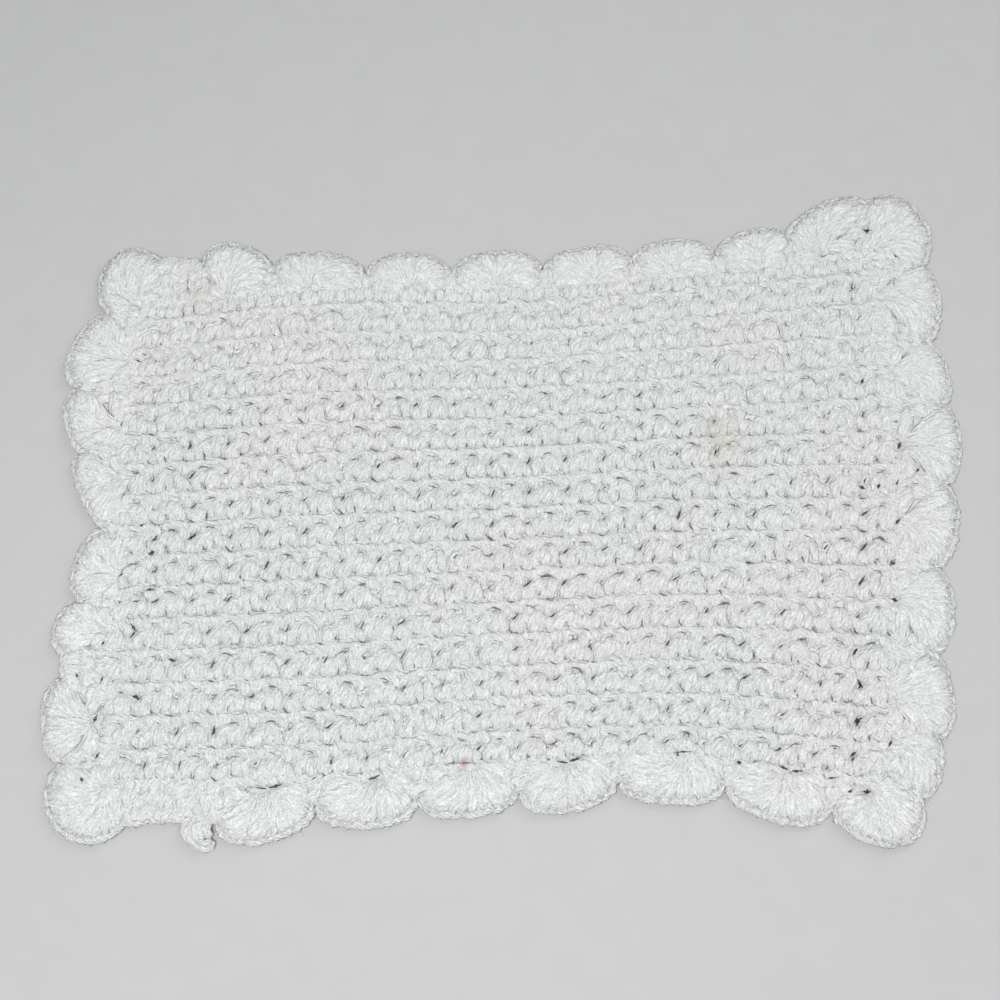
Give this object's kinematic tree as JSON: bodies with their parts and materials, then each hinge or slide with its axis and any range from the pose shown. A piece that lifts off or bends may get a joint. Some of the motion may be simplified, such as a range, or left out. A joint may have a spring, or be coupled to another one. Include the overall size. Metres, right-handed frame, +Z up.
{
  "type": "crochet placemat",
  "caption": "Thick rectangular crochet table mat with a dense row-worked ground and a border of rounded fan shells.",
  "frame": {"origin": "under the middle of the mat's bounds, on the surface that it lies on", "axes": "+X along the length, +Y from the near edge to the far edge, +Z up out of the worked face"},
  "size_m": [0.4469, 0.3345, 0.0074],
  "materials": {
    "cotton": "undyed white cotton yarn of several soft plies, matt, slightly fuzzy and washed"
  },
  "bodies": {
    "root": {"ground": "cotton", "edging": "cotton", "end_loop": "cotton"}
  },
  "joints": []
}
